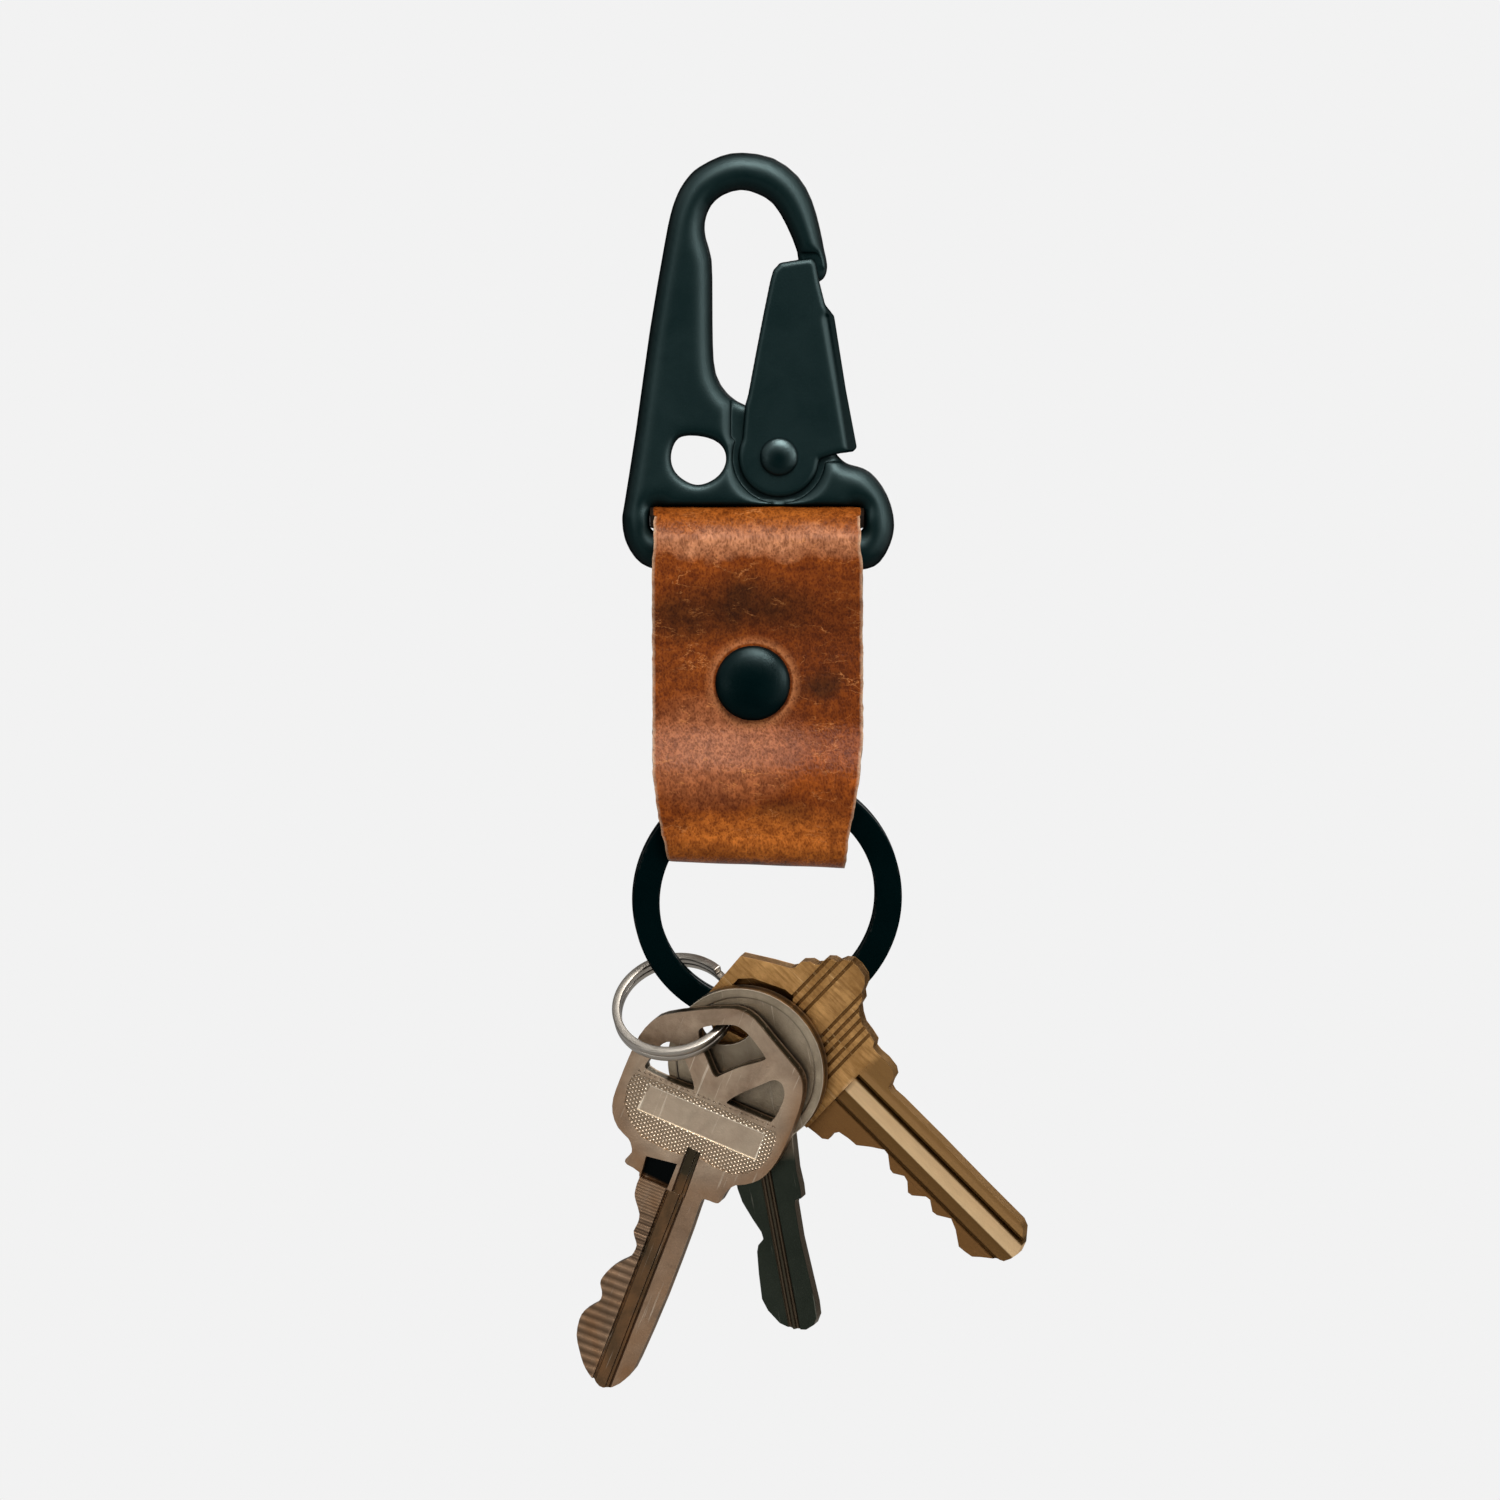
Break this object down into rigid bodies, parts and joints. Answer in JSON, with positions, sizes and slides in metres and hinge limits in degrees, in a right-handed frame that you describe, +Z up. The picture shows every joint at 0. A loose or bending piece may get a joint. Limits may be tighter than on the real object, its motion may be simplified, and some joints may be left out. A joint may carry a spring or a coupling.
{
  "type": "clip keychain",
  "caption": "Snap clip with a sprung gate, riveted leather strap, flat split ring and small split ring holding keys.",
  "frame": {"origin": "inside top of the clip's eye, at the middle of its thickness, where it hangs", "axes": "+Z up along the strap, front faces -Y, +X to the right seen from the front"},
  "size_m": [0.053, 0.0237, 0.1487],
  "materials": {
    "black_coating": "matt black powder coat",
    "spring_steel": "bright spring wire",
    "leather": "oiled cognac leather",
    "nickel": "polished nickel",
    "nickel_silver": "worn nickel silver",
    "brass": "worn brass"
  },
  "bodies": {
    "clip": {"hook_body": "black_coating", "gate_rivet": "black_coating", "gate_spring": "spring_steel"},
    "gate": {"gate": "black_coating"},
    "strap": {"leather_strap": "leather", "rivet_front_shell": "black_coating", "rivet_front_base": "black_coating", "rivet_back_shell": "black_coating", "rivet_post": "black_coating"},
    "ring": {"flat_ring": "black_coating"},
    "key_ring": {"small_ring": "nickel"},
    "house_key": {"house_key": "nickel_silver"},
    "round_key": {"round_key": "nickel"},
    "brass_key": {"brass_key": "brass"}
  },
  "joints": [
    {"name": "gate_pivot", "type": "hinge", "parent": "clip", "child": "gate", "pos_m": [0.00444, 0, -0.03204], "axis": [0, -1, 0], "range_deg": [0, 14], "stiffness_Nm_per_rad": 0.01, "springref_deg": -20.05, "deforming": ["gate_spring"]},
    {"name": "strap_swing", "type": "hinge", "parent": "clip", "child": "strap", "pos_m": [0.0018, 0, -0.04338], "axis": [1, 0, 0], "range_deg": [-75, 75]},
    {"name": "ring_swing", "type": "hinge", "parent": "strap", "child": "ring", "pos_m": [0.003, 0.0006, -0.0757], "axis": [1, 0, 0], "range_deg": [-4, 4]},
    {"name": "key_ring_swing", "type": "hinge", "parent": "ring", "child": "key_ring", "pos_m": [-0.00624, 0.00617, -0.0954], "axis": [-1, 0, 0], "range_deg": [0, 15]},
    {"name": "house_key_swing", "type": "hinge", "parent": "key_ring", "child": "house_key", "pos_m": [-0.003, -0.0001, -0.1014], "axis": [-0.326, -0.9055, -0.2717], "range_deg": [-6, 8]},
    {"name": "round_key_swing", "type": "hinge", "parent": "key_ring", "child": "round_key", "pos_m": [-0.0016, 0.00103, -0.0993], "axis": [-0.326, -0.9055, -0.2717], "range_deg": [-8, 8]},
    {"name": "brass_key_swing", "type": "hinge", "parent": "key_ring", "child": "brass_key", "pos_m": [-0.0012, 0.00252, -0.0972], "axis": [-0.326, -0.9055, -0.2717], "range_deg": [-8, 8]}
  ]
}
